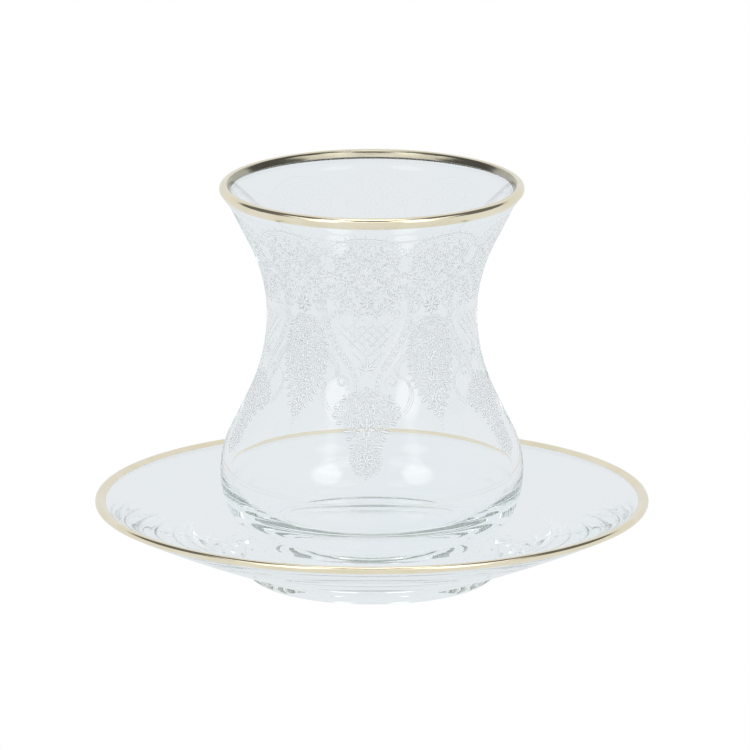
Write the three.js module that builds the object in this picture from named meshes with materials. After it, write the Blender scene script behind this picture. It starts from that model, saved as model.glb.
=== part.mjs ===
// A waisted tea glass standing in the well of its own saucer.
// Both are clear glass, and each has a gilt band wrapped over its rim.
// Millimetres, +Z up. The origin is on the common axis, at the underside of the saucer's foot.

import * as THREE from 'three';

const { degToRad, clamp, lerp } = THREE.MathUtils;

// Facets round the axis
const ROUND_STEPS = 56;

// Saucer: the dish
const SAUCER_RADIUS = 60;
const SAUCER_HEIGHT = 17.2;
const SAUCER_LIP = 0.8;
const SAUCER_LIP_SLOPE = 0.5;
const DISH_SLOPE = 0.26;
const WELL_RADIUS = 30.6;
const WELL_HEIGHT = 8.0;
const WELL_STEP = 0.35;
const RIDGE_RADIUS = 38.4;
const RIDGE_HALF_WIDTH = 1.0;
const RIDGE_HEIGHT = 0.35;

// Saucer: the foot ring and the underside
const FOOT_RADIUS = 26.9;
const FOOT_HEIGHT = 1.85;
const FOOT_CHAMFER = 0.6;
const FOOT_CONTACT_OUTER = 26.2;
const FOOT_CONTACT_INNER = 24.4;
const FOOT_RECESS_RADIUS = 23.2;
const FOOT_RECESS_DEPTH = 2.5;
const UNDERSIDE_SLOPE = 0.375;

// Cup: outer form, heights counted from its own base
const CUP_HEIGHT = 78.95;
const CUP_RADIUS = 32.96;
const CUP_LIP = 1.1;
const CUP_LIP_LEAN = degToRad(40);
const LIP_FLARE_DEPTH = 3.4;
const FLARE_ROUND = 35.7;
const FLARE_LEAN = degToRad(27);
const WAIST_RADIUS = 22.7;
const WAIST_HEIGHT = 50.1;
const SHOULDER_LEAN = degToRad(26);
const BELLY_RADIUS = 32.85;
const BELLY_HEIGHT = 15.4;
const BELLY_ROUND = 20;
const BASE_RADIUS = 22;

// Cup: base ring, floor and walls
const BASE_RING_INNER = 19.6;
const BASE_RECESS_RADIUS = 18.6;
const BASE_RECESS_DEPTH = 0.4;
const FLOOR_RADIUS = 17;
const FLOOR_THICKNESS = 3.4;
const FLOOR_DISH = 0.25;
const WALL_BELOW_LIP = 1.65;
const WALL_AT_BELLY = 2.1;

// Gilt bands: how far they run down the outer and the inner face below the lip's round,
// their modelled thickness, and the clearance that keeps them and the standing cup off the glass
const CUP_BAND_OUTSIDE = 0.8;
const CUP_BAND_INSIDE = 0.9;
const SAUCER_BAND_OUTSIDE = 0.3;
const SAUCER_BAND_INSIDE = 1.2;
const GILT = 0.18;
const CLEARANCE = 0.05;

const clearGlass = new THREE.MeshStandardMaterial({
  name: 'clear glass',
  color: 0xe6edf0,
  roughness: 0.04,
  metalness: 0,
  transparent: true,
  opacity: 0.35,
});

const brightGilding = new THREE.MeshStandardMaterial({
  name: 'bright gilding',
  color: 0xe3cb93,
  roughness: 0.16,
  metalness: 1,
});

// Outlines are lists of points in the half plane of radius and height. They run from the
// axis under the piece, outwards and up its outer face, over the lip, and back to the axis.

function point(radius, height) {
  return new THREE.Vector2(radius, height);
}

// A run along an ellipse. Angles count from the outward direction towards the top.
function arc(centre, across, up, from, to, steps) {
  const points = [];
  for (let i = 0; i <= steps; i += 1) {
    const angle = lerp(from, to, i / steps);
    points.push(point(centre.x + across * Math.cos(angle), centre.y + up * Math.sin(angle)));
  }
  return points;
}

// A smooth bend that leaves one point along a slope and arrives at another along a second one
function bend(start, along, end, arriving, steps) {
  const gap = end.clone().sub(start);
  const reach = gap.cross(arriving) / along.cross(arriving);
  const corner = start.clone().addScaledVector(along, reach);
  return new THREE.QuadraticBezierCurve(start, corner, end).getPoints(steps);
}

// An outline moved to its left, by a distance given for each height
function inset(points, distance) {
  return points.map((here, i) => {
    const before = points[Math.max(i - 1, 0)];
    const after = points[Math.min(i + 1, points.length - 1)];
    const along = after.clone().sub(before).normalize();
    return point(here.x - along.y * distance(here.y), here.y + along.x * distance(here.y));
  });
}

// The last stretch of a face, of the given length, cut off from the rest
function cutSkirt(face, length) {
  const wall = [...face];
  const skirt = [wall.pop()];
  let left = length;
  while (wall.at(-1).distanceTo(skirt[0]) < left) {
    left -= wall.at(-1).distanceTo(skirt[0]);
    skirt.unshift(wall.pop());
  }
  const share = left / wall.at(-1).distanceTo(skirt[0]);
  const cut = skirt[0].clone().lerp(wall.at(-1), share);
  return { wall: [...wall, cut], skirt: [cut, ...skirt] };
}

// A rim's outline: the skirt of the outer face, the round lip, and a straight skirt inside.
// Both faces lean outwards, each by an angle from the upright.
function rimOutline(skirt, lipCentre, lip, outerLean, innerLean, insideLength) {
  const overLip = arc(lipCentre, lip, lip, -outerLean, Math.PI - innerLean, 5);
  const down = point(-Math.sin(innerLean), -Math.cos(innerLean));
  const insideEnd = overLip.at(-1).clone().addScaledVector(down, insideLength);
  return [...skirt, ...overLip.slice(1), insideEnd];
}

// A band is a thin channel, closed on itself, with the rim's outline as its outer side
function bandOutline(rim) {
  const underside = inset(rim, () => GILT).reverse();
  return [...rim, ...underside, rim[0].clone()];
}

// The glass under a band is let in by the band's thickness and the clearance
function glassRim(rim) {
  return inset(rim, () => GILT + CLEARANCE);
}

// A solid of revolution about +Z
function turned(name, outline, material, height = 0) {
  const geometry = new THREE.LatheGeometry(outline, ROUND_STEPS);
  geometry.rotateX(Math.PI / 2);
  const mesh = new THREE.Mesh(geometry, material);
  mesh.name = name;
  mesh.position.z = height;
  return mesh;
}

// Cup

// The shoulder is a straight cone between two rounds. The waist's round is as large as
// the rise and the run between belly and waist leave for it.
function waistRound() {
  const run = BELLY_RADIUS - WAIST_RADIUS;
  const rise = WAIST_HEIGHT - BELLY_HEIGHT;
  const slope = Math.tan(SHOULDER_LEAN);
  const both = (rise * slope - run)
    / (slope * Math.sin(SHOULDER_LEAN) - 1 + Math.cos(SHOULDER_LEAN));
  return both - BELLY_ROUND;
}

function cupBody() {
  const belly = point(BELLY_RADIUS - BELLY_ROUND, BELLY_HEIGHT);
  const lowRound = waistRound();
  const lowWaist = point(WAIST_RADIUS + lowRound, WAIST_HEIGHT);
  const highWaist = point(WAIST_RADIUS + FLARE_ROUND, WAIST_HEIGHT);
  return [
    ...arc(belly, BELLY_ROUND, BELLY_ROUND, 0, SHOULDER_LEAN, 3),
    ...arc(lowWaist, lowRound, lowRound, Math.PI + SHOULDER_LEAN, Math.PI, 4),
    ...arc(highWaist, FLARE_ROUND, FLARE_ROUND, Math.PI, Math.PI - FLARE_LEAN, 4).slice(1),
  ];
}

const cupLipCentre = point(CUP_RADIUS - CUP_LIP, CUP_HEIGHT - CUP_LIP);

// Above the waist the wall flares as a cone. Its outer face opens a little more into the
// lip and its inner face runs on straight, so the rim is thicker than the wall below it.
function cupFlare(body) {
  const coneFoot = body.at(-1);
  const along = point(Math.sin(FLARE_LEAN), Math.cos(FLARE_LEAN));
  const coneHeight = cupLipCentre.y - LIP_FLARE_DEPTH - coneFoot.y;
  const coneTop = coneFoot.clone().addScaledVector(along, coneHeight / along.y);
  const lipFoot = arc(cupLipCentre, CUP_LIP, CUP_LIP, -CUP_LIP_LEAN, 0, 1)[0];
  const arriving = point(Math.sin(CUP_LIP_LEAN), Math.cos(CUP_LIP_LEAN));
  return bend(coneTop, along, lipFoot, arriving, 3);
}

function cupWall(height) {
  const share = clamp((height - BELLY_HEIGHT) / (CUP_HEIGHT - BELLY_HEIGHT), 0, 1);
  return lerp(WALL_AT_BELLY, WALL_BELOW_LIP, share);
}

function makeCup() {
  const body = cupBody();
  const { wall, skirt } = cutSkirt([...body, ...cupFlare(body)], CUP_BAND_OUTSIDE);
  const rim = rimOutline(skirt, cupLipCentre, CUP_LIP, CUP_LIP_LEAN, FLARE_LEAN, CUP_BAND_INSIDE);
  const heelCentre = point(BASE_RADIUS, BELLY_HEIGHT);
  const heel = arc(heelCentre, BELLY_RADIUS - BASE_RADIUS, BELLY_HEIGHT, -Math.PI / 2, 0, 7);
  const inner = [...inset(body, cupWall), rim.at(-1)].reverse();
  const floorEdge = FLOOR_THICKNESS + FLOOR_DISH;
  const innerHeelCentre = point(FLOOR_RADIUS, inner.at(-1).y);
  const innerHeel = arc(
    innerHeelCentre,
    inner.at(-1).x - FLOOR_RADIUS,
    inner.at(-1).y - floorEdge,
    0,
    -Math.PI / 2,
    6,
  );
  const outline = [
    point(0, BASE_RECESS_DEPTH),
    point(BASE_RECESS_RADIUS, BASE_RECESS_DEPTH),
    point(BASE_RING_INNER, 0),
    ...heel.slice(0, -1),
    ...wall,
    ...glassRim(rim),
    ...inner,
    ...innerHeel.slice(1),
    point(0, FLOOR_THICKNESS),
  ];
  return { outline, band: bandOutline(rim) };
}

// Saucer

const saucerLipCentre = point(SAUCER_RADIUS - SAUCER_LIP, SAUCER_HEIGHT - SAUCER_LIP);
const SAUCER_LIP_LEAN = Math.PI / 2 - Math.atan(SAUCER_LIP_SLOPE);

function saucerUnderside() {
  const start = point(FOOT_RADIUS, FOOT_HEIGHT);
  const end = arc(saucerLipCentre, SAUCER_LIP, SAUCER_LIP, -SAUCER_LIP_LEAN, 0, 1)[0];
  return bend(start, point(1, UNDERSIDE_SLOPE), end, point(1, SAUCER_LIP_SLOPE), 5);
}

// The upper face runs down from the rim to the well, with one low ridge round it
function saucerDish(rimEdge) {
  const start = point(WELL_RADIUS + 2 * WELL_STEP, WELL_HEIGHT + WELL_STEP);
  const slope = bend(start, point(1, DISH_SLOPE), rimEdge, point(1, SAUCER_LIP_SLOPE), 24);
  const heightAt = (radius) => {
    const i = slope.findIndex((here) => here.x >= radius);
    const share = (radius - slope[i - 1].x) / (slope[i].x - slope[i - 1].x);
    return lerp(slope[i - 1].y, slope[i].y, share);
  };
  const ridge = [
    point(RIDGE_RADIUS - RIDGE_HALF_WIDTH, heightAt(RIDGE_RADIUS - RIDGE_HALF_WIDTH)),
    point(RIDGE_RADIUS, heightAt(RIDGE_RADIUS) + RIDGE_HEIGHT),
    point(RIDGE_RADIUS + RIDGE_HALF_WIDTH, heightAt(RIDGE_RADIUS + RIDGE_HALF_WIDTH)),
  ];
  const outside = slope.filter((here, i) => i % 4 === 0 && here.x > ridge[2].x + 1);
  return [start, ...ridge, ...outside].reverse();
}

function makeSaucer() {
  const { wall, skirt } = cutSkirt(saucerUnderside(), SAUCER_BAND_OUTSIDE);
  const lean = SAUCER_LIP_LEAN;
  const rim = rimOutline(skirt, saucerLipCentre, SAUCER_LIP, lean, lean, SAUCER_BAND_INSIDE);
  const outline = [
    point(0, FOOT_RECESS_DEPTH),
    point(FOOT_RECESS_RADIUS, FOOT_RECESS_DEPTH),
    point(FOOT_CONTACT_INNER, 0),
    point(FOOT_CONTACT_OUTER, 0),
    point(FOOT_RADIUS, FOOT_CHAMFER),
    ...wall,
    ...glassRim(rim),
    ...saucerDish(rim.at(-1)),
    point(WELL_RADIUS, WELL_HEIGHT),
    point(0, WELL_HEIGHT),
  ];
  return { outline, band: bandOutline(rim) };
}

const saucer = makeSaucer();
const cup = makeCup();
const standing = WELL_HEIGHT + CLEARANCE;

const group = new THREE.Group();
group.name = 'tea glass with saucer';
group.add(turned('saucer', saucer.outline, clearGlass));
group.add(turned('saucer_gilt_rim', saucer.band, brightGilding));
group.add(turned('glass_cup', cup.outline, clearGlass, standing));
group.add(turned('cup_gilt_rim', cup.band, brightGilding, standing));

export default group;
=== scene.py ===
# %% [markdown]
# # A gilt tea glass on its saucer
#
# The real thing is two pieces of clear glass. The glass has a waist for the fingers and a
# heavy heel. The saucer is pressed, with a foot ring below and a flat well above. A band of
# gold is fired on both rims, and a fine lace is etched round the glass.
#
# The imported model is loaded first. It is a fixed frame: the height of the glass's base is
# read from it, and each piece that follows is a finer copy of one of its solids.

# %% Load the frame
import math

import bpy
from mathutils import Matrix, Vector


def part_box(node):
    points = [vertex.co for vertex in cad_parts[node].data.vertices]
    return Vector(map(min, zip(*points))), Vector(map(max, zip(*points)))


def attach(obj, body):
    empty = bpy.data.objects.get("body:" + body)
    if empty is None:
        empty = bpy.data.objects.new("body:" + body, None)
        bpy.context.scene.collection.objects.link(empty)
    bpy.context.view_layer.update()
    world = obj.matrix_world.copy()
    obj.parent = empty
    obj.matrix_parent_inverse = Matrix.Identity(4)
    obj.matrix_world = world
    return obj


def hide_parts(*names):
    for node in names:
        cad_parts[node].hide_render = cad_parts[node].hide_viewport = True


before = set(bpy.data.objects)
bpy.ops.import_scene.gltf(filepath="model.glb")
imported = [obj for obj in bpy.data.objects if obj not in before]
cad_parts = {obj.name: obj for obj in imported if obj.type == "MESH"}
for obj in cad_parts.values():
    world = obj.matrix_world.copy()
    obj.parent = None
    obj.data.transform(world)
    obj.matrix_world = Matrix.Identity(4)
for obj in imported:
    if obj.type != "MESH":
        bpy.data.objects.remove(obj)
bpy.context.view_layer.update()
MM = 0.001
print("frame nodes", sorted(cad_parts))

# %% [markdown]
# ## The camera
#
# The photograph was taken with a long lens from a little above, so the sides of the glass
# stay almost parallel. A wide lens close by would show the same outline with rims that are
# far too open. So the camera stands 3.5 m away and looks down by fifteen degrees, and its
# focal length makes one millimetre as many pixels as it is in the photograph.

# %% Camera
PICTURE = 750
SENSOR = 36.0
CAMERA_DISTANCE = 3.5
CAMERA_ELEVATION = math.radians(15)
PIXELS_PER_MM = 4.607
ORIGIN_PIXEL = (371.9, 572.4)


def add_camera():
    back, up = math.cos(CAMERA_ELEVATION), math.sin(CAMERA_ELEVATION)
    place = CAMERA_DISTANCE * Vector((0, -back, up))
    aside = (PICTURE / 2 - ORIGIN_PIXEL[0]) / PIXELS_PER_MM * MM
    above = (ORIGIN_PIXEL[1] - PICTURE / 2) / PIXELS_PER_MM * MM
    aim = Vector((aside, 0, above / back))
    bpy.ops.object.camera_add(location=place)
    camera = bpy.context.object
    camera.data.sensor_width = SENSOR
    camera.data.lens = PIXELS_PER_MM * CAMERA_DISTANCE / MM / PICTURE * SENSOR
    camera.rotation_euler = (aim - place).to_track_quat("-Z", "Y").to_euler()
    bpy.context.scene.camera = camera
    print("camera at", [round(c, 3) for c in place], "lens", round(camera.data.lens), "mm")


add_camera()

# %% [markdown]
# ## Outlines
#
# Glass and saucer are round, so each is one outline, turned about the upright axis. An
# outline is a list of radii and heights in millimetres. It starts on the axis under the
# piece, goes out and up its outer face, over the lip, and back down to the axis. Round
# stretches are arcs, and a face that changes its slope is a bend between two slopes, so
# only a few sizes drive the whole form.

# %% Outline tools
END_SHARE = 0.02


def arc(centre, across, up, start, end, steps):
    """Points along an ellipse. Angles count from the outward direction towards the top."""
    angles = [math.radians(start + (end - start) * i / steps) for i in range(steps + 1)]
    return [(centre[0] + across * math.cos(a), centre[1] + up * math.sin(a)) for a in angles]


def bend(start, along, end, arriving, steps):
    """A smooth bend that leaves a point along one slope and arrives along another."""
    side = along[0] * arriving[1] - along[1] * arriving[0]
    gap = (end[0] - start[0], end[1] - start[1])
    reach = (gap[0] * arriving[1] - gap[1] * arriving[0]) / side
    corner = (start[0] + along[0] * reach, start[1] + along[1] * reach)
    points = []
    for i in range(steps + 1):
        t = i / steps
        a, b, c = (1 - t) ** 2, 2 * t * (1 - t), t * t
        points.append(tuple(a * start[k] + b * corner[k] + c * end[k] for k in (0, 1)))
    return points


def inset(points, distance):
    """The outline moved to its left, by a distance given for each height."""
    moved = []
    for i, here in enumerate(points):
        before, after = points[max(i - 1, 0)], points[min(i + 1, len(points) - 1)]
        along = (Vector(after) - Vector(before)).normalized()
        amount = distance(here[1])
        moved.append((here[0] - along.y * amount, here[1] + along.x * amount))
    return moved


def between(start, end, steps):
    """Points along a straight line, with closely set ones at both ends."""
    shares = [END_SHARE] + [i / steps for i in range(1, steps)] + [1 - END_SHARE]
    return [tuple(Vector(start).lerp(Vector(end), share)) for share in shares]


# %% Rims
LIP_STEPS = 16


def cut_skirt(face, length):
    """Cuts the last stretch of a face off, and gives the rest and that stretch."""
    rest, skirt, left = list(face[:-1]), [face[-1]], length
    while math.dist(rest[-1], skirt[0]) < left:
        left -= math.dist(rest[-1], skirt[0])
        skirt.insert(0, rest.pop())
    share = left / math.dist(rest[-1], skirt[0])
    cut = tuple(Vector(skirt[0]).lerp(Vector(rest[-1]), share))
    return rest + [cut], [cut] + skirt


def rim_outline(skirt, centre, lip, outer_lean, inner_lean, inside):
    """The skirt of the outer face, the round lip, and a straight skirt inside."""
    over = arc(centre, lip, lip, -outer_lean, 180 - inner_lean, LIP_STEPS)
    lean = math.radians(inner_lean)
    end = (over[-1][0] - inside * math.sin(lean), over[-1][1] - inside * math.cos(lean))
    return skirt + over[1:] + [end]


# %% [markdown]
# ## The glass
#
# From below, the glass has a ring that it stands on, a wide round heel, a belly, a straight
# shoulder, the waist, and a flare that opens into the lip. The wall is a little thinner
# towards the top, and the lip is thicker than the wall, as the heat that rounds a rim makes
# it. The floor is thick and clear, which is what bends the light in the heel. Underneath is
# a shallow dish with no step in it, because a step would show through the floor as an arc.

# %% Outer face of the glass
CUP_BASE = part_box("glass_cup")[0].z / MM
CUP_HEIGHT = 78.95
CUP_RADIUS = 32.96
CUP_LIP = 1.1
CUP_LIP_LEAN = 40
LIP_FLARE_DEPTH = 3.4
FLARE_ROUND = 35.7
FLARE_LEAN = 27
WAIST_RADIUS = 22.7
WAIST_HEIGHT = 50.1
SHOULDER_LEAN = 26
BELLY_RADIUS = 32.85
BELLY_HEIGHT = 15.4
BELLY_ROUND = 20
BELLY_STEPS = 8
WAIST_STEPS = 14
FLARE_STEPS = 6
LIP_FLARE_STEPS = 8

lip_centre = (CUP_RADIUS - CUP_LIP, CUP_HEIGHT - CUP_LIP)


def cup_body():
    """Belly, shoulder and waist. The waist's round is as large as the rise leaves it."""
    lean = math.radians(SHOULDER_LEAN)
    run, rise = BELLY_RADIUS - WAIST_RADIUS, WAIST_HEIGHT - BELLY_HEIGHT
    both = (rise * math.tan(lean) - run) / (math.tan(lean) * math.sin(lean) - 1 + math.cos(lean))
    low = both - BELLY_ROUND
    belly = (BELLY_RADIUS - BELLY_ROUND, BELLY_HEIGHT)
    low_waist = (WAIST_RADIUS + low, WAIST_HEIGHT)
    high_waist = (WAIST_RADIUS + FLARE_ROUND, WAIST_HEIGHT)
    return (
        arc(belly, BELLY_ROUND, BELLY_ROUND, 0, SHOULDER_LEAN, BELLY_STEPS)
        + arc(low_waist, low, low, 180 + SHOULDER_LEAN, 180, WAIST_STEPS)
        + arc(high_waist, FLARE_ROUND, FLARE_ROUND, 180, 180 - FLARE_LEAN, WAIST_STEPS)[1:]
    )


def cup_flare(foot):
    """The cone above the waist, which opens a little more into the lip."""
    lean, lip_lean = math.radians(FLARE_LEAN), math.radians(CUP_LIP_LEAN)
    along = (math.sin(lean), math.cos(lean))
    reach = (lip_centre[1] - LIP_FLARE_DEPTH - foot[1]) / along[1]
    top = (foot[0] + along[0] * reach, foot[1] + along[1] * reach)
    end = arc(lip_centre, CUP_LIP, CUP_LIP, -CUP_LIP_LEAN, 0, 1)[0]
    cone = between(foot, top, FLARE_STEPS)[1:-1]
    arriving = (math.sin(lip_lean), math.cos(lip_lean))
    return cone + bend(top, along, end, arriving, LIP_FLARE_STEPS)


body = cup_body()
print("glass narrowest", round(min(r for r, z in body), 2), "widest", round(body[0][0], 2))

# %% Whole outline of the glass
BASE_RADIUS = 22
BASE_RING_INNER = 19.6
BASE_RECESS_DEPTH = 0.4
BASE_RECESS_STEPS = 12
FLOOR_RADIUS = 17
FLOOR_THICKNESS = 3.4
FLOOR_DISH = 0.25
WALL_BELOW_LIP = 1.65
WALL_AT_BELLY = 2.1
HEEL_STEPS = 20
INNER_FLARE_STEPS = 8
INNER_HEEL_STEPS = 18
CUP_BAND_OUTSIDE = 0.8
CUP_BAND_INSIDE = 0.9
FILM = 0.06
FILM_GAP = 0.015


def cup_wall(height):
    share = min(max((height - BELLY_HEIGHT) / (CUP_HEIGHT - BELLY_HEIGHT), 0), 1)
    return WALL_AT_BELLY + (WALL_BELOW_LIP - WALL_AT_BELLY) * share


def base_recess():
    """The dish under the glass: half a wave, from its deepest point out to the ring."""
    points = []
    for i in range(BASE_RECESS_STEPS + 1):
        share = i / BASE_RECESS_STEPS
        depth = BASE_RECESS_DEPTH * (0.5 + 0.5 * math.cos(math.pi * share))
        points.append((BASE_RING_INNER * share, depth))
    return points


wall, skirt = cut_skirt(body + cup_flare(body[-1]), CUP_BAND_OUTSIDE)
cup_rim = rim_outline(skirt, lip_centre, CUP_LIP, CUP_LIP_LEAN, FLARE_LEAN, CUP_BAND_INSIDE)
heel_centre = (BASE_RADIUS, BELLY_HEIGHT)
heel = arc(heel_centre, BELLY_RADIUS - BASE_RADIUS, BELLY_HEIGHT, -90, 0, HEEL_STEPS)
inner = inset(body, cup_wall)
inner_flare = between(cup_rim[-1], inner[-1], INNER_FLARE_STEPS)[:-1]
inner = [cup_rim[-1]] + inner_flare + inner[::-1]
inner_radius, inner_height = inner[-1]
inner_rise = inner_height - FLOOR_THICKNESS - FLOOR_DISH
inner_centre = (FLOOR_RADIUS, inner_height)
inner_run = inner_radius - FLOOR_RADIUS
inner_heel = arc(inner_centre, inner_run, inner_rise, 0, -90, INNER_HEEL_STEPS)
cup_outline = (
    base_recess() + heel[:-1] + wall + inset(cup_rim, lambda z: FILM) + inner + inner_heel[1:]
    + [(FLOOR_RADIUS / 2, FLOOR_THICKNESS + FLOOR_DISH / 4), (0, FLOOR_THICKNESS)]
)
print("outline of the glass has", len(cup_outline), "points")

# %% [markdown]
# ## Turning
#
# A lathe shape can be made from a curve with a Screw modifier, or in edit mode with Spin.
# Spin leaves a plain mesh that later steps can work on, so it is used here. A small plane
# is merged to one vertex, the vertex is extruded along the outline, and the line is spun
# round once. The last ring lies on the first, and the ends lie on the axis, so doubles are
# merged before the normals are set outwards. Faces that meet at a flat angle are shaded
# smooth, and the edges that a cutter or a mould would leave are rounded with a Bevel.

# %% Turn an outline
SPIN_STEPS = 160
SHORTEST_STEP = 0.004
SMOOTH_BELOW = 35
MERGE_DISTANCE = 0.002
EDGE_ROUND = 0.25
EDGE_SEGMENTS = 3
EDGE_ANGLE = 25


def turn(name, outline, height):
    """Draws an outline by extruding one vertex, and spins it round the upright axis."""
    bpy.ops.object.select_all(action="DESELECT")
    points = []
    for radius, z in outline:
        here = Vector((radius * MM, 0, (z + height) * MM))
        if not points or (here - points[-1]).length > SHORTEST_STEP * MM:
            points.append(here)
    bpy.ops.mesh.primitive_plane_add(size=MM, location=points[0])
    piece = bpy.context.object
    piece.name = piece.data.name = name
    bpy.ops.object.transform_apply(location=True, rotation=True, scale=True)
    bpy.ops.object.mode_set(mode="EDIT")
    bpy.ops.mesh.select_all(action="SELECT")
    bpy.ops.mesh.merge(type="CENTER")
    for here, there in zip(points, points[1:]):
        bpy.ops.mesh.extrude_region_move(TRANSFORM_OT_translate={"value": there - here})
    bpy.ops.mesh.select_all(action="SELECT")
    bpy.ops.mesh.spin(steps=SPIN_STEPS, angle=2 * math.pi, center=(0, 0, 0), axis=(0, 0, 1))
    bpy.ops.mesh.select_all(action="SELECT")
    bpy.ops.mesh.remove_doubles(threshold=MERGE_DISTANCE * MM)
    bpy.ops.mesh.normals_make_consistent(inside=False)
    bpy.ops.object.mode_set(mode="OBJECT")
    bpy.ops.object.shade_smooth_by_angle(angle=math.radians(SMOOTH_BELOW))
    print(name, len(piece.data.vertices), "vertices", len(piece.data.polygons), "faces")
    return piece


def round_edges(piece):
    soften = piece.modifiers.new("soften", "BEVEL")
    soften.width = EDGE_ROUND * MM
    soften.segments = EDGE_SEGMENTS
    soften.limit_method = "ANGLE"
    soften.angle_limit = math.radians(EDGE_ANGLE)
    bpy.context.view_layer.objects.active = piece
    bpy.ops.object.modifier_apply(modifier=soften.name)


cup = turn("cup", cup_outline, CUP_BASE)
round_edges(cup)

# %% [markdown]
# ## The gilding of the glass
#
# Liquid gold is brushed over a rim and fired, and leaves a film far thinner than a hair.
# The film here is 0.06 mm thick, so that it stays a solid that light can't leak through.
# It is the rim's own outline with a parallel one under it, turned like the rest, and the
# glass under it is let in by as much.
#
# Two sides of the film are marked. The side that lies on the glass has a finish of its own,
# dull and pale, as gold seen through glass is. The side that faces the axis is painted a
# darker brown, a painted shade that stands in for dark reflections.

# %% Band of the glass
# On the glass's band, faces towards the axis wear a darker gold, which is painted shade.
ON_GLASS = 1
TO_AXIS = 2
INWARD = -0.45


def band(name, rim, centre, height):
    """A closed film over a rim, with the faces on the glass and towards the axis marked."""
    under = inset(rim, lambda z: FILM - FILM_GAP)[::-1]
    piece = turn(name, rim + under + [rim[0]], height)
    for face in piece.data.polygons:
        middle = Vector(face.center) / MM
        around = Vector((middle.x, middle.y, 0)).normalized()
        outward = middle - around * centre[0] - Vector((0, 0, centre[1] + height))
        if face.normal.dot(outward) < 0:
            face.material_index = ON_GLASS
        elif face.normal.dot(around) < INWARD:
            face.material_index = TO_AXIS
    marks = [face.material_index for face in piece.data.polygons]
    print(name, "faces on the glass", marks.count(ON_GLASS), "towards the axis", marks.count(TO_AXIS))
    return piece


cup_band = band("cup_band", cup_rim, lip_centre, CUP_BASE)

# %% [markdown]
# ## The saucer
#
# The saucer is pressed in a mould: a flat well for the glass, one low ridge that frames it,
# and a dish that steepens towards the rim. Below is a foot ring with a flat that it stands
# on. The ridge is only a third of a millimetre high, but it catches the light as a fine
# ring, so it is a smooth swelling in the outline and not a bump in the material.

# %% Outline of the saucer
SAUCER_RADIUS = 60
SAUCER_HEIGHT = 17.2
SAUCER_LIP = 0.8
SAUCER_LIP_SLOPE = 0.5
SAUCER_BAND_OUTSIDE = 0.3
SAUCER_BAND_INSIDE = 1.2
DISH_SLOPE = 0.26
WELL_RADIUS = 30.6
WELL_HEIGHT = 8.0
WELL_STEP = 0.35
RIDGE_RADIUS = 38.4
RIDGE_HALF_WIDTH = 1.0
RIDGE_HEIGHT = 0.35
FOOT_RADIUS = 26.9
FOOT_HEIGHT = 1.85
FOOT_CHAMFER = 0.6
FOOT_CONTACT_OUTER = 26.2
FOOT_CONTACT_INNER = 24.4
FOOT_RECESS_RADIUS = 23.2
FOOT_RECESS_DEPTH = 2.5
UNDERSIDE_SLOPE = 0.375
UNDERSIDE_STEPS = 24
DISH_STEPS = 80

saucer_lip_centre = (SAUCER_RADIUS - SAUCER_LIP, SAUCER_HEIGHT - SAUCER_LIP)
saucer_lean = 90 - math.degrees(math.atan(SAUCER_LIP_SLOPE))


def saucer_underside():
    lip_foot = arc(saucer_lip_centre, SAUCER_LIP, SAUCER_LIP, -saucer_lean, 0, 1)[0]
    start = (FOOT_RADIUS, FOOT_HEIGHT)
    return bend(start, (1, UNDERSIDE_SLOPE), lip_foot, (1, SAUCER_LIP_SLOPE), UNDERSIDE_STEPS)


def saucer_dish(edge):
    """The upper face from the rim to the well, with the ridge as a smooth swelling."""
    start = (WELL_RADIUS + 2 * WELL_STEP, WELL_HEIGHT + WELL_STEP)
    slope = bend(start, (1, DISH_SLOPE), edge, (1, SAUCER_LIP_SLOPE), DISH_STEPS)
    swell = [math.exp(-2 * ((r - RIDGE_RADIUS) / RIDGE_HALF_WIDTH) ** 2) for r, z in slope]
    return [(r, z + RIDGE_HEIGHT * share) for (r, z), share in zip(slope, swell)][::-1]


under, saucer_skirt = cut_skirt(saucer_underside(), SAUCER_BAND_OUTSIDE)
saucer_rim = rim_outline(
    saucer_skirt, saucer_lip_centre, SAUCER_LIP, saucer_lean, saucer_lean, SAUCER_BAND_INSIDE
)
saucer_outline = (
    [(0, FOOT_RECESS_DEPTH), (FOOT_RECESS_RADIUS / 2, FOOT_RECESS_DEPTH)]
    + [(FOOT_RECESS_RADIUS, FOOT_RECESS_DEPTH), (FOOT_CONTACT_INNER, 0), (FOOT_CONTACT_OUTER, 0)]
    + [(FOOT_RADIUS, FOOT_CHAMFER)]
    + under + inset(saucer_rim, lambda z: FILM) + saucer_dish(saucer_rim[-1])
    + [(WELL_RADIUS, WELL_HEIGHT), (WELL_RADIUS / 2, WELL_HEIGHT), (0, WELL_HEIGHT)]
)
print("outline of the saucer has", len(saucer_outline), "points")

# %% Saucer and its band
saucer = turn("saucer_dish", saucer_outline, 0)
round_edges(saucer)
saucer_band = band("saucer_band", saucer_rim, saucer_lip_centre, 0)

# %% [markdown]
# ## The lace
#
# The ornament is etched: the acid leaves fine matt lines in the clear wall. A relief in the
# material would be too coarse for lines of a fifth of a millimetre. So the lace is drawn
# with a pen, as strokes on a flat sheet: x runs round the glass and z is the height above
# its base, both in millimetres. The sheet is then bent round the glass.
#
# Each stroke is a list of points with the half width of the line at each. Strokes are
# mirrored by default, because every motif is the same left and right.

# %% The pen
PEN = 0.1


def through(points, steps=4):
    """A smooth row of points that passes through the given ones."""
    row = []
    for i in range(len(points) - 1):
        a, b, c, d = (Vector(points[min(max(j, 0), len(points) - 1)]) for j in range(i - 1, i + 3))
        for t in (step / steps for step in range(steps)):
            steep = (c - a) * t + (2 * a - 5 * b + 4 * c - d) * t ** 2
            row.append(b + 0.5 * (steep + (3 * b - a - 3 * c + d) * t ** 3))
    return row + [Vector(points[-1])]


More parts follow.
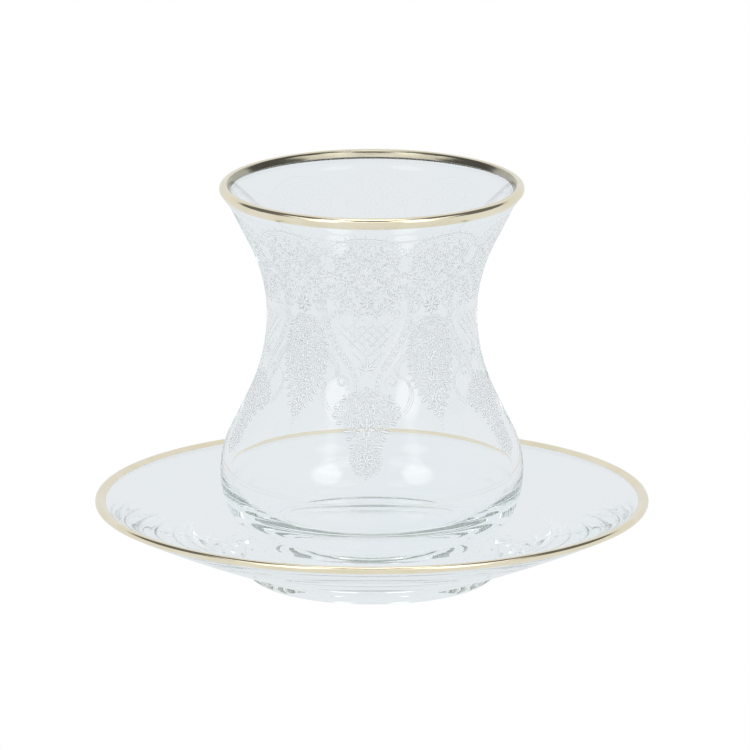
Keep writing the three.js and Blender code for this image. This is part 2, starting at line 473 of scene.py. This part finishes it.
def heading(degrees):
    """A direction, counted from straight up towards the right."""
    return Vector((math.sin(math.radians(degrees)), math.cos(math.radians(degrees))))


def ink(sheet, row, widths, both=True):
    for side in (1, -1) if both else (1,):
        sheet.append([(side * p[0], p[1], w) for p, w in zip(row, widths)])


# %% Lines and beads
LINE_END = 0.55
BEAD_SHAPE = ((-1, 0.4), (-0.42, 1), (0.42, 1), (1, 0.4))
THREAD_STEPS = 8


def line(sheet, points, width=PEN, both=True, steps=4):
    row = through([Vector(p) for p in points], steps)
    last = len(row) - 1
    swell = [LINE_END + (1 - LINE_END) * math.sin(math.pi * i / last) for i in range(last + 1)]
    ink(sheet, row, [width * share for share in swell], both)


def bead(sheet, x, z, size, both=True):
    row = [(x, z + step * size) for step, wide in BEAD_SHAPE]
    ink(sheet, row, [wide * size for step, wide in BEAD_SHAPE], both)


def beads(sheet, points, gap, size, both=True):
    """Beads on a thread, the same distance apart."""
    row, left = through([Vector(p) for p in points], THREAD_STEPS), 0
    for here, there in zip(row, row[1:]):
        left -= (there - here).length
        if left <= 0:
            bead(sheet, there[0], there[1], size, both)
            left += gap


# %% Leaves, curls and flowers
BLADE_SHAPE = (0.2, 0.8, 1, 0.6, 0.05)
CURL_STEP = 34
CURL_CLOSING = 0.72
PETAL_FOOT = 0.3
PETAL_LENGTH = 0.75
PETAL_FAT = 0.22


def blade(sheet, x, z, turn, length, fat, curl=0, both=True):
    """A leaf or a petal, drawn as one stroke that swells and ends in a point."""
    row, steps = [Vector((x, z))], len(BLADE_SHAPE) - 1
    for i in range(steps):
        row.append(row[-1] + heading(turn + curl * i) * length / steps)
    ink(sheet, row, [fat * wide for wide in BLADE_SHAPE], both)


def scroll(sheet, x, z, size, start, turn, width=PEN, both=True):
    """A curl that winds in round a point and ends in a bead."""
    count = max(6, int(abs(turn) / CURL_STEP))
    row = []
    for i in range(count + 1):
        t = i / count
        row.append(Vector((x, z)) + heading(start + turn * t) * size * (1 - CURL_CLOSING * t))
    ink(sheet, row, [width * (0.5 + 0.7 * i / count) for i in range(count + 1)], both)
    bead(sheet, row[-1][0], row[-1][1], width * 1.7, both)


def flower(sheet, x, z, size, petals=6, turn=0, both=True):
    for i in range(petals):
        way = turn + 360 * i / petals
        foot = Vector((x, z)) + heading(way) * size * PETAL_FOOT
        blade(sheet, foot[0], foot[1], way, size * PETAL_LENGTH, size * PETAL_FAT, both=both)
    bead(sheet, x, z, size * 0.2, both)


# %% [markdown]
# ## Filling a shape
#
# Much of the lace is close work: a shape filled with small blossoms, curls and leaves. A
# shape is given as half widths at a few heights. The motifs stand in staggered rows inside
# it, each turned further than the one before, so that no rows of like motifs show. Where the
# work is closest, the acid has matted the glass between the motifs too. That is a veil: level
# hatching that reads as one pale tone behind them.

# %% Shapes and veils
HATCH_STEP = 0.5
HATCH_HALF_WIDTH = 0.09
LEAF_STEP = 1.7
LEAF_REACH = 0.16
BETWEEN_LEAVES = 0.9


def width_at(shape, z):
    """Half the width of a shape at a height, from its list of heights and half widths."""
    for (z0, w0), (z1, w1) in zip(shape, shape[1:]):
        if z1 <= z <= z0:
            return w0 + (w1 - w0) * (z0 - z) / (z0 - z1)
    return 0


def veil(sheet, shape):
    """A shape hatched so closely that it is one matt tone, with a leafy edge."""
    z = shape[0][0] - HATCH_STEP / 2
    while z > shape[-1][0]:
        lobe = abs(math.sin(math.pi * z / LEAF_STEP))
        reach = width_at(shape, z) * (BETWEEN_LEAVES + LEAF_REACH * lobe)
        steps = max(2, round(reach))
        row = [(reach * (2 * i / steps - 1), z) for i in range(steps + 1)]
        ink(sheet, row, [HATCH_HALF_WIDTH] * len(row), both=False)
        z -= HATCH_STEP


# %% Fill
ROW_SHARE = 0.87
TURN_EACH = 137
FILL_KINDS = 3


def fill(sheet, shape, gap, size, edge_turn=None):
    """Staggered rows of small motifs, with leaves that point outwards along the edge."""
    z, row = shape[0][0] - gap / 2, 0
    while z > shape[-1][0]:
        reach = width_at(shape, z)
        x, step = gap / 2 * (row % 2), 0
        while x <= reach - size / 2:
            both, way = x > 0, TURN_EACH * (row + 2 * step)
            kind = (row + step) % FILL_KINDS
            if kind == 0:
                flower(sheet, x, z, size, 5, way, both)
            elif kind == 1:
                scroll(sheet, x, z, size * 0.75, way, 320, PEN * 0.8, both)
            else:
                blade(sheet, x, z - size / 2, 30, size * 1.1, size * 0.2, -14, both)
                blade(sheet, x, z - size / 2, -30, size * 1.1, size * 0.2, 14, both)
            x, step = x + gap, step + 1
        if edge_turn is not None and reach > size:
            blade(sheet, reach - size / 2, z, edge_turn, size * 1.3, size * 0.26, -12)
        z, row = z - gap * ROW_SHARE, row + 1


# %% [markdown]
# ## The pattern
#
# The pattern repeats five times round the glass. A repeat has two columns. The first has a
# trellis between two strings of beads, and hangs down in a long pendant with a rosette. The
# second is a rosette over a leafy cluster. Scallops and a floral ground join them above.

# %% Border and ground
REPEATS = 5
HALF_COLUMN = math.pi / REPEATS / 2
SCALLOP_HALF_WIDTH = 8.95
SCALLOP_FOOT = 69.2
SCALLOP_RISE = 4.9
SCALLOP_LOOPS = 7
GROUND_FOOT = 59.6


def cup_radius(z):
    for (r0, z0), (r1, z1) in zip(wall, wall[1:]):
        if z <= z1:
            return r0 + (r1 - r0) * max(0, (z - z0) / (z1 - z0))
    return wall[-1][0]


def on_scallop(t, lift):
    """A point on a scallop at an angle from its top, lifted outwards from its line."""
    across, up = SCALLOP_HALF_WIDTH + lift, SCALLOP_RISE + lift
    return (across * math.sin(t), SCALLOP_FOOT + up * math.cos(t))


def scallop(sheet):
    """One scallop of the border, with its double line, beads and loops."""
    for lift, width in ((0, 0.11), (-1.15, 0.08)):
        row = [on_scallop(math.pi * i / 20, lift) for i in range(-10, 11)]
        line(sheet, row, width, both=False, steps=1)
    beads(sheet, [on_scallop(math.pi * i / 16, -0.6) for i in range(-8, 9)], 0.9, 0.17, both=False)
    for i in range(1 - SCALLOP_LOOPS, SCALLOP_LOOPS):
        t = math.pi / 2 * i / (SCALLOP_LOOPS - 0.4)
        x, z = on_scallop(t, 0.35)
        scroll(sheet, x, z, 0.34, 150 + math.degrees(t), 300, 0.06, both=False)
        x, z = on_scallop(t, 0.95)
        bead(sheet, x, z, 0.12, both=False)


def ground(sheet):
    """The close floral ground below a scallop, down to the motifs of the columns."""
    heights = [SCALLOP_FOOT + SCALLOP_RISE - 1.6, SCALLOP_FOOT + 1.5, SCALLOP_FOOT - 1, GROUND_FOOT]
    full = [cup_radius(z) * HALF_COLUMN for z in heights]
    shape = list(zip(heights, (1.5, SCALLOP_HALF_WIDTH - 1.8, full[2], full[3])))
    fill(sheet, shape, 1.6, 1.2)


# %% Main column
MAIN_PENDANT = (
    (39.4, 0.5), (37.6, 4.6), (35.6, 6.6), (33.2, 6.9), (31.4, 4.4), (28.6, 3.4), (27.6, 2.9)
)
MAIN_ROSETTE = ((28.2, 2.2), (27.0, 3.2), (25.0, 3.6), (23.0, 2.9), (21.9, 1.0))
ROSETTE_HEIGHT = 24.9
STRING = (
    (9.4, 61.5), (9.7, 57.5), (9.0, 53.0), (7.2, 49.0), (4.9, 45.6), (3.0, 42.9), (2.1, 40.6),
    (2.2, 38.2),
)
RIBBON = (
    (12.6, 51.6), (9.9, 48.6), (7.2, 45.6), (5.9, 43.5), (6.4, 42.0), (8.3, 41.0), (9.3, 38.8),
    (8.9, 36.2), (7.3, 34.3),
)
BEAD_COATS = (0.28, 0.23, 0.18)
TRELLIS_PITCH = 2.15
TRELLIS_MIDDLE = 50.0
TRELLIS_RISE = 0.94
TRELLIS_TOP = 54.0
TRELLIS_TIP = 43.4
TRELLIS_TIP_HALF_WIDTH = 1.2
TRELLIS_OPENING = 0.62
TRELLIS_KNOTS = (-5, -3.4, -1.7, 0, 1.7, 3.4, 5)


def in_trellis(x, z):
    reach = TRELLIS_TIP_HALF_WIDTH + (z - TRELLIS_TIP) * TRELLIS_OPENING
    return abs(x) < reach and z < TRELLIS_TOP


def trellis(sheet):
    """Slanting lines both ways, cut to the funnel between the strings of beads."""
    for s in range(-3, 4):
        for way in (-1, 1):
            row = []
            for t in TRELLIS_KNOTS:
                x, z = TRELLIS_PITCH * s + way * t, TRELLIS_MIDDLE - TRELLIS_RISE * t
                if in_trellis(x, z):
                    row.append((x, z))
            if len(row) > 1:
                line(sheet, row, 0.12, both=False, steps=2)


def strings(sheet):
    """Strings of beads beside the trellis. A bead has nested coats, as it is etched deeper."""
    for size in BEAD_COATS:
        beads(sheet, STRING, 0.8, size)
    line(sheet, [(x + 0.66, z - 0.1) for x, z in STRING], 0.1)
    line(sheet, [(x - 0.66, z + 0.15) for x, z in STRING[:6]], 0.09)
    for shift in (0, 0.45, 0.9):
        line(sheet, [(x + shift, z - shift * 0.6) for x, z in RIBBON], 0.12)


def main_head(sheet):
    """Fans, rosettes and scrolls between the ground and the trellis."""
    flower(sheet, 0, 58.4, 1.7, 8, both=False)
    fill(sheet, ((60.2, 8.6), (57.0, 8.8), (54.6, 6.6)), 1.9, 1.3)
    scroll(sheet, 3.4, 57.4, 1.9, 250, -430, 0.1)
    scroll(sheet, 6.6, 55.6, 1.5, 60, 430, 0.1)
    for i in range(-2, 3):
        blade(sheet, 0, 43.2, 36 * i, 2.9 - 0.3 * abs(i), 0.3, both=False)
    scroll(sheet, 1.2, 42.4, 0.8, 180, 330, 0.09)


def main_pendant(sheet):
    """Chevrons over a wide cluster, a narrow tail, a rosette and a drop."""
    for lower, fat in ((0, 0.3), (1.3, 0.2), (2.6, 0.3), (4.1, 0.2)):
        blade(sheet, 0.15, 39.8 - lower, 148, 4.6, fat, -8)
    fill(sheet, MAIN_PENDANT, 1.75, 1.3, 115)
    scroll(sheet, 5.4, 40.6, 1.9, 200, 420, 0.12)
    scroll(sheet, 5.4, 40.6, 1.4, 230, 330, 0.09)
    scroll(sheet, 6.2, 35.2, 1.3, 300, 420, 0.11)
    flower(sheet, 0, 31.4, 1.9, 7, both=False)
    for i in range(7):
        way = 2 * math.pi * i / 7
        x, z = 2.25 * math.sin(way), ROSETTE_HEIGHT + 2.2 * math.cos(way)
        flower(sheet, x, z, 1.15, 6, 20 * i, both=False)
    flower(sheet, 0, ROSETTE_HEIGHT, 1.5, 8, 20, both=False)
    for i in range(-7, 8):
        way = math.radians(180 - 20 * i)
        bead(sheet, 3.5 * math.sin(way), ROSETTE_HEIGHT + 3.2 * math.cos(way), 0.2, both=False)
    scroll(sheet, 0, 21.6, 0.6, 0, 330, 0.12, both=False)


# %% Side column
SIDE_CLUSTER = (
    (54.6, 1.8), (52.4, 4.2), (49.0, 5.4), (44.0, 5.4), (40.0, 4.5), (36.6, 2.9), (33.2, 0.7)
)


def side_head(sheet):
    flower(sheet, 0, 57.0, 2.2, 8, both=False)
    flower(sheet, 0, 57.0, 1.1, 6, 30, both=False)
    scroll(sheet, 4.1, 57.2, 2.2, 300, 560, 0.11)
    scroll(sheet, 4.1, 57.2, 1.6, 330, 480, 0.08)
    for shift in (0, 0.5):
        low = [(0.6, 53.9), (2.6, 53.3), (5.0, 53.5), (6.6, 54.9)]
        line(sheet, [(x, z - shift) for x, z in low], 0.09)
    fill(sheet, ((60.4, 6.6), (58.8, 6.9), (57.5, 5.2)), 1.8, 1.2)


def side_cluster(sheet):
    fill(sheet, SIDE_CLUSTER, 1.75, 1.3, 140)
    for i in range(6):
        z = 50.0 - 3 * i
        reach = width_at(SIDE_CLUSTER, z)
        scroll(sheet, reach * 0.6, z, reach * 0.34, 60 + 70 * i, 400, 0.13)
        flower(sheet, 0, z - 1.2, 1.5, 7, 20 * i, both=False)
    for i in range(3):
        bead(sheet, 0, 31.9 - 0.75 * i, 0.28 - 0.05 * i, both=False)


# %% [markdown]
# ## From the sheet to the glass
#
# A curve object holds all strokes of a sheet, and its bevel gives each one a thin diamond
# section as wide as the pen. It becomes a mesh, and each of its points moves to the angle
# and height that the sheet says, just outside the wall. Nearly nine tenths of the thickness
# are pressed flat on the way, because etching has no height that a finger could feel.

# %% Bend a sheet round the glass
LACE_TURN = -2.5
LACE_FLATNESS = 0.12
LACE_LIFT = 0.04


def strokes(name, sheet):
    """One mesh of thin closed strokes, still flat."""
    bpy.ops.object.select_all(action="DESELECT")
    bpy.ops.curve.primitive_bezier_curve_add(radius=1, location=(0, 0, 0))
    piece = bpy.context.object
    piece.name = name
    drawing = piece.data
    drawing.splines.clear()
    drawing.twist_mode = "Z_UP"
    drawing.bevel_depth = 1
    drawing.bevel_resolution = 0
    drawing.use_fill_caps = True
    for row in sheet:
        spline = drawing.splines.new("POLY")
        spline.points.add(len(row) - 1)
        for point, (x, z, width) in zip(spline.points, row):
            point.co = (x, z, 0, 1)
            point.radius = width
    bpy.ops.object.convert(target="MESH")
    return bpy.context.object


def wrap(piece, middle):
    for vertex in piece.data.vertices:
        x, z, lift = vertex.co
        radius = cup_radius(z)
        angle = math.radians(middle) + x / radius
        out = (radius + LACE_LIFT + lift * LACE_FLATNESS) * MM
        vertex.co = (out * math.sin(angle), -out * math.cos(angle), (CUP_BASE + z) * MM)
    bpy.ops.object.mode_set(mode="EDIT")
    bpy.ops.mesh.select_all(action="SELECT")
    bpy.ops.mesh.normals_make_consistent(inside=False)
    bpy.ops.object.mode_set(mode="OBJECT")


# %% Repeat a sheet round the glass
def lay(name, sheet, first, copies):
    """Wraps a sheet at its first place, copies it round the glass and joins the copies."""
    piece = strokes(name, sheet)
    wrap(piece, first)
    twins = [piece]
    for i in range(1, copies):
        twin = piece.copy()
        twin.data = piece.data.copy()
        bpy.context.collection.objects.link(twin)
        twin.rotation_euler.z = 2 * math.pi * i / copies
        twins.append(twin)
    for twin in twins:
        twin.select_set(True)
    bpy.context.view_layer.objects.active = piece
    bpy.ops.object.transform_apply(location=True, rotation=True, scale=True)
    bpy.ops.object.join()
    piece.name = piece.data.name = name
    piece.data.calc_loop_triangles()
    print(name, len(sheet), "strokes in a sheet,", len(piece.data.loop_triangles), "triangles in all")
    return piece


# %% Five layers of lace
def main_veils(sheet):
    veil(sheet, MAIN_PENDANT)
    veil(sheet, MAIN_ROSETTE)


def side_veil(sheet):
    veil(sheet, SIDE_CLUSTER)


def drawn(*parts):
    """A new sheet with the parts drawn on it in turn."""
    sheet = []
    for part in parts:
        part(sheet)
    return sheet


SIDE_TURN = LACE_TURN + 180 / REPEATS
main_column = drawn(main_head, trellis, strings, main_pendant)
laces = (
    lay("lace_main", main_column, LACE_TURN, REPEATS),
    lay("lace_side", drawn(side_head, side_cluster), SIDE_TURN, REPEATS),
    lay("lace_ground", drawn(scallop, ground), LACE_TURN, 2 * REPEATS),
    lay("veil_main", drawn(main_veils), LACE_TURN, REPEATS),
    lay("veil_side", drawn(side_veil), SIDE_TURN, REPEATS),
)

# %% [markdown]
# ## Shared effects
#
# No real surface is one flat colour. Glass has slight waves from the mould, gold is thinner
# here and thicker there, and etching has a grain. All three are soft, uneven fields, so one
# node group makes them: it reads a place, and gives a mask from 0 to 1 and a value between
# two limits. A group has named sockets, so each material says what it wants of it.

# %% Node group
NOISE_DETAIL = 3.0
MASK_FROM = 0.3
MASK_TO = 0.7


def uneven_group():
    group = bpy.data.node_groups.new("uneven", "ShaderNodeTree")
    sockets = (
        ("Place", "INPUT", "NodeSocketVector", None),
        ("Scale", "INPUT", "NodeSocketFloat", 100.0),
        ("Low", "INPUT", "NodeSocketFloat", 0.0),
        ("High", "INPUT", "NodeSocketFloat", 1.0),
        ("Mask", "OUTPUT", "NodeSocketFloat", None),
        ("Value", "OUTPUT", "NodeSocketFloat", None),
    )
    for name, side, kind, value in sockets:
        socket = group.interface.new_socket(name, in_out=side, socket_type=kind)
        if value is not None:
            socket.default_value = value
    nodes, links = group.nodes, group.links
    given, result = nodes.new("NodeGroupInput"), nodes.new("NodeGroupOutput")
    noise = nodes.new("ShaderNodeTexNoise")
    mask, value = nodes.new("ShaderNodeMapRange"), nodes.new("ShaderNodeMapRange")
    links.new(given.outputs["Place"], noise.inputs["Vector"])
    links.new(given.outputs["Scale"], noise.inputs["Scale"])
    noise.inputs["Detail"].default_value = NOISE_DETAIL
    mask.interpolation_type = "SMOOTHSTEP"
    mask.inputs["From Min"].default_value = MASK_FROM
    mask.inputs["From Max"].default_value = MASK_TO
    links.new(noise.outputs["Fac"], mask.inputs["Value"])
    links.new(mask.outputs["Result"], value.inputs["Value"])
    links.new(given.outputs["Low"], value.inputs["To Min"])
    links.new(given.outputs["High"], value.inputs["To Max"])
    links.new(mask.outputs["Result"], result.inputs["Mask"])
    links.new(value.outputs["Result"], result.inputs["Value"])
    return group


UNEVEN = uneven_group()
print("shared group", UNEVEN.name, "with", len(UNEVEN.nodes), "nodes")


# %% Material helpers
def new_material(name):
    material = bpy.data.materials.new(name)
    material.use_nodes = True
    tree = material.node_tree
    print("new material", name)
    return material, tree, tree.nodes["Principled BSDF"]


def uneven(tree, scale, low=0.0, high=1.0, stretch=(1, 1, 1)):
    """Places the shared group in a material, on its object's own coordinates."""
    node = tree.nodes.new("ShaderNodeGroup")
    node.node_tree = UNEVEN
    node.inputs["Scale"].default_value = scale
    node.inputs["Low"].default_value = low
    node.inputs["High"].default_value = high
    place = tree.nodes.new("ShaderNodeMapping")
    place.inputs["Scale"].default_value = stretch
    tree.links.new(tree.nodes.new("ShaderNodeTexCoord").outputs["Object"], place.inputs["Vector"])
    tree.links.new(place.outputs["Vector"], node.inputs["Place"])
    return node


def two_tones(tree, mask, first, second, socket):
    mix = tree.nodes.new("ShaderNodeMix")
    mix.data_type = "RGBA"
    mix.inputs["A"].default_value = (*first, 1)
    mix.inputs["B"].default_value = (*second, 1)
    tree.links.new(mask, mix.inputs["Factor"])
    tree.links.new(mix.outputs["Result"], socket)


def relief(tree, shader, height, depth, strength):
    """Turns a field into a fine relief of a depth in millimetres."""
    bump = tree.nodes.new("ShaderNodeBump")
    bump.inputs["Distance"].default_value = depth * MM
    bump.inputs["Strength"].default_value = strength
    tree.links.new(height, bump.inputs["Height"])
    tree.links.new(bump.outputs["Normal"], shader.inputs["Normal"])


# %% [markdown]
# ## The glass material
#
# Clear glass is full transmission with an index of refraction of 1.5. Its colour comes from
# its thickness and not from its surface: an absorption inside the volume tints the thick
# heel and the edges a little green, and leaves thin walls clear. The waves of the mould are
# a very shallow relief, and the polish varies by a hair, so reflections aren't ruler straight.

# %% Glass
GLASS_INDEX = 1.5
GLASS_TINT = (0.78, 0.92, 0.90)
GLASS_DENSITY = 2
GLASS_TONES = ((1, 1, 1), (0.985, 0.995, 0.995))
WAVE_STRENGTH = 0.2
POLISH_SCALE = 260
ROUGHEST_POLISH = 0.002


def glass(name, waves, depth):
    material, tree, shader = new_material(name)
    shader.inputs["IOR"].default_value = GLASS_INDEX
    shader.inputs["Transmission Weight"].default_value = 1.0
    slow = uneven(tree, waves)
    two_tones(tree, slow.outputs["Mask"], *GLASS_TONES, shader.inputs["Base Color"])
    relief(tree, shader, slow.outputs["Mask"], depth, WAVE_STRENGTH)
    polish = uneven(tree, POLISH_SCALE, 0.0, ROUGHEST_POLISH)
    tree.links.new(polish.outputs["Value"], shader.inputs["Roughness"])
    absorb = tree.nodes.new("ShaderNodeVolumeAbsorption")
    absorb.inputs["Color"].default_value = (*GLASS_TINT, 1)
    absorb.inputs["Density"].default_value = GLASS_DENSITY
    tree.links.new(absorb.outputs["Volume"], tree.nodes["Material Output"].inputs["Volume"])
    return material


cup_glass = glass("cup glass", 38, 0.05)
saucer_glass = glass("saucer glass", 14, 0.002)

# %% [markdown]
# ## Gold and etching
#
# Fired gold is a metal film, pale and bright, with brush marks that run round the rim: the
# shared field is squeezed upwards for them. On its glass side the same film is dull and pale,
# and on the side towards the axis it is painted brown, as painted shade for dark reflections.
#
# The etching is matt and almost white, with a fine grain. Looked at from outside, a stroke is
# quite opaque. Looked at from inside, through the wall, it is nearly clear, so the far side
# of the lace doesn't fill the gaps of the near side.

# %% Gold
FILM_SCALE = 120
BRUSH_SCALE = 300
BRUSH_STRETCH = (1, 1, 6)
BRUSH_DEPTH = 0.01
BRUSH_STRENGTH = 0.4


def gold(name, bright, deep, low, high):
    material, tree, shader = new_material(name)
    shader.inputs["Metallic"].default_value = 1.0
    thin = uneven(tree, FILM_SCALE)
    two_tones(tree, thin.outputs["Mask"], bright, deep, shader.inputs["Base Color"])
    brushed = uneven(tree, BRUSH_SCALE, low, high, BRUSH_STRETCH)
    tree.links.new(brushed.outputs["Value"], shader.inputs["Roughness"])
    relief(tree, shader, brushed.outputs["Mask"], BRUSH_DEPTH, BRUSH_STRENGTH)
    return material


gilding = gold("gilding", (0.93, 0.84, 0.65), (0.88, 0.78, 0.57), 0.09, 0.16)
gilding_under = gold("gilding on the glass", (0.80, 0.79, 0.74), (0.74, 0.73, 0.68), 0.3, 0.45)
# Painted shade: the gold towards the axis is made darker to stand in for dark reflections.
gilding_painted_dark = gold("gilding inside painted dark", (0.50, 0.47, 0.37), (0.42, 0.39, 0.30), 0.1, 0.18)


# %% Etching
GRAIN_SCALE = 1500
ETCHED_TONES = ((0.93, 0.96, 0.98), (1, 1, 1))
ETCHED_ROUGHNESS = 0.9


def etching(name, low, high):
    """Matt strokes, with an opacity between two limits. Faces away from the viewer don't show."""
    material, tree, shader = new_material(name)
    grain = uneven(tree, GRAIN_SCALE, low, high)
    two_tones(tree, grain.outputs["Mask"], *ETCHED_TONES, shader.inputs["Base Color"])
    shader.inputs["Roughness"].default_value = ETCHED_ROUGHNESS
    facing = tree.nodes.new("ShaderNodeMapRange")
    facing.inputs["To Min"].default_value = high
    facing.inputs["To Max"].default_value = 0
    if low < high:
        tree.links.new(grain.outputs["Value"], facing.inputs["To Min"])
    away = tree.nodes.new("ShaderNodeNewGeometry").outputs["Backfacing"]
    tree.links.new(away, facing.inputs["Value"])
    tree.links.new(facing.outputs["Result"], shader.inputs["Alpha"])
    return material


etched = etching("etched lace", 1.0, 1.0)
etched_inside = etching("etched lace towards the glass", 0.03, 0.06)

# %% Dress the pieces
for lace in laces:
    for face in lace.data.polygons:
        inward = face.normal.x * face.center.x + face.normal.y * face.center.y < 0
        face.material_index = int(inward)

dress = [
    (cup, (cup_glass,)),
    (saucer, (saucer_glass,)),
    (cup_band, (gilding, gilding_under, gilding_painted_dark)),
    (saucer_band, (gilding, gilding_under, gilding)),
]
dress += [(lace, (etched, etched_inside)) for lace in laces]
for piece, materials in dress:
    for material in materials:
        piece.data.materials.append(material)
    print(piece.name, "wears", [material.name for material in materials])

# %% [markdown]
# ## The room
#
# Glass has almost no look of its own: it shows the room. The photograph has a white ground,
# but the glass is a pale blue grey, so what stands behind it is white to the camera and a
# little darker to everything else. Two pairs of soft boxes stand in front at both sides, and
# give the soft patches on the shoulder.
#
# Gold needs another room: it looks like metal only where it mirrors both dark and bright
# places. It is brushed and the glass is polished, so the kind of reflection tells them apart.
# Brushed reflections meet dark places at both sides and above, a bright strip in front
# between them, and a lamp overhead. Polished ones meet the pale room alone, because the
# thick heel would draw dark places in it as dark arcs.
#
# Light inside thick glass is thrown back many times before it leaves. Each of these turns
# counts as a bounce, and light that runs out of bounces turns black, so the limits are high.

# %% Bounces
scene = bpy.context.scene
scene.view_settings.view_transform = "Standard"
BOUNCES = 128
scene.cycles.max_bounces = BOUNCES
scene.cycles.transmission_bounces = BOUNCES
scene.cycles.glossy_bounces = BOUNCES
scene.cycles.transparent_max_bounces = BOUNCES
print("bounces", scene.cycles.max_bounces)

# %% Places in the room
WHITE = (1, 1, 1)
THROUGH = (0.80, 0.83, 0.857)
DARK = (0.14, 0.14, 0.14)
OVERHEAD = (2.0, 2.0, 2.0)
STRIP = (1.5, 1.5, 1.5)
SOFTBOX = (2.0, 2.0, 1.98)


def toward(azimuth, elevation):
    """The direction at an azimuth from the camera's side, and an elevation."""
    a, e = math.radians(azimuth), math.radians(elevation)
    return Vector((math.sin(a) * math.cos(e), -math.cos(a) * math.cos(e), math.sin(e)))


def share(tree, direction, start, end):
    """0 where the view is more than the angle start from a direction, 1 within end."""
    where = tree.nodes.new("ShaderNodeTexCoord").outputs["Generated"]
    dot = tree.nodes.new("ShaderNodeVectorMath")
    dot.operation = "DOT_PRODUCT"
    dot.inputs[1].default_value = direction
    tree.links.new(where, dot.inputs[0])
    ramp = tree.nodes.new("ShaderNodeMapRange")
    ramp.interpolation_type = "SMOOTHSTEP"
    ramp.inputs["From Min"].default_value = math.cos(math.radians(start))
    ramp.inputs["From Max"].default_value = math.cos(math.radians(end))
    tree.links.new(dot.outputs["Value"], ramp.inputs["Value"])
    return ramp.outputs["Result"]


# %% Layers of the room
def layer(tree, below, colour, mask):
    """One colour laid over what is below, where the mask says."""
    mix = tree.nodes.new("ShaderNodeMix")
    mix.data_type = "RGBA"
    tree.links.new(mask, mix.inputs["Factor"])
    for socket, given in ((mix.inputs["A"], below), (mix.inputs["B"], colour)):
        if isinstance(given, tuple):
            socket.default_value = (*given, 1)
        else:
            tree.links.new(given, socket)
    return mix.outputs["Result"]


def both(tree, first, second):
    product = tree.nodes.new("ShaderNodeMath")
    product.operation = "MULTIPLY"
    tree.links.new(first, product.inputs[0])
    tree.links.new(second, product.inputs[1])
    return product.outputs["Value"]


def brushed_only(tree, path):
    """1 for reflections in brushed surfaces, 0 for polished ones and for all other light."""
    rough = tree.nodes.new("ShaderNodeMath")
    rough.operation = "SUBTRACT"
    rough.inputs[0].default_value = 1.0
    tree.links.new(path["Is Singular Ray"], rough.inputs[1])
    return both(tree, path["Is Glossy Ray"], rough.outputs["Value"])


# %% World
# An edge gives two angles from the middle of a place: where it starts, and where it is full.
# A soft box has an elevation before its edge.
SIDE_AZIMUTH = 100
SIDE_ELEVATION = 42
SIDE_EDGE = (34, 26)
STRIP_EDGE = (56, 51)
STRIP_END = (90, 75)
ABOVE_EDGE = (44, 40)
ABOVE_END = (92, 84)
OVERHEAD_EDGE = (16, 11)
SOFTBOX_AZIMUTH = 38
SOFTBOXES = ((21, 14, 9), (53, 13, 8))
BELOW_EDGE = (90, 86)
UP = Vector((0, 0, 1))


def gold_room(tree):
    """Dark places at both sides and above, a bright strip in front, and a lamp overhead."""
    front = toward(0, 0)
    room = THROUGH
    for side in (-1, 1):
        dark_place = toward(side * SIDE_AZIMUTH, SIDE_ELEVATION)
        room = layer(tree, room, DARK, share(tree, dark_place, *SIDE_EDGE))
    strip = both(tree, share(tree, UP, *STRIP_EDGE), share(tree, front, *STRIP_END))
    room = layer(tree, room, STRIP, strip)
    above = both(tree, share(tree, UP, *ABOVE_EDGE), share(tree, front, *ABOVE_END))
    room = layer(tree, room, DARK, above)
    return layer(tree, room, OVERHEAD, share(tree, UP, *OVERHEAD_EDGE))


def add_world():
    world = bpy.data.worlds.new("studio")
    world.use_nodes = True
    scene.world = world
    tree = world.node_tree
    path = tree.nodes.new("ShaderNodeLightPath").outputs
    room = layer(tree, THROUGH, gold_room(tree), brushed_only(tree, path))
    for side in (-1, 1):
        for elevation, start, end in SOFTBOXES:
            box = toward(side * SOFTBOX_AZIMUTH, elevation)
            room = layer(tree, room, SOFTBOX, share(tree, box, start, end))
    room = layer(tree, room, THROUGH, share(tree, -UP, *BELOW_EDGE))
    room = layer(tree, room, WHITE, path["Is Camera Ray"])
    tree.links.new(room, tree.nodes["Background"].inputs["Color"])
    print("the room has", len(tree.nodes), "nodes")


add_world()

# %% [markdown]
# ## The floor
#
# The photograph shows no ground and no shadow under the foot, so the floor glows evenly, in
# the same two tones as the wall behind.

# %% Floor
FLOOR_SIZE = 8
FLOOR_DROP = 0.0002


def add_floor():
    bpy.ops.object.select_all(action="DESELECT")
    bpy.ops.mesh.primitive_plane_add(size=FLOOR_SIZE, location=(0, 0, -FLOOR_DROP))
    floor = bpy.context.object
    floor.name = "floor"
    material, tree, shader = new_material("floor")
    tree.nodes.remove(shader)
    glow = tree.nodes.new("ShaderNodeEmission")
    seen = tree.nodes.new("ShaderNodeLightPath").outputs["Is Camera Ray"]
    tree.links.new(layer(tree, THROUGH, WHITE, seen), glow.inputs["Color"])
    tree.links.new(glow.outputs["Emission"], tree.nodes["Material Output"].inputs["Surface"])
    floor.data.materials.append(material)
    print("floor", FLOOR_SIZE, "m wide")


add_floor()

# %% [markdown]
# ## Hand over
#
# Each piece takes the place of the solid it was made from, and rides on the one body. The
# lace belongs to the glass.

# %% Hand over
places = [
    (cup, "glass_cup", "cup_glass"),
    (cup_band, "cup_gilt_rim", "cup_gilding"),
    (saucer, "saucer", "saucer_glass"),
    (saucer_band, "saucer_gilt_rim", "saucer_gilding"),
]
places += [(lace, "glass_cup", "cup_glass") for lace in laces]
for piece, node, slot in places:
    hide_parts(node)
    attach(piece, "root")
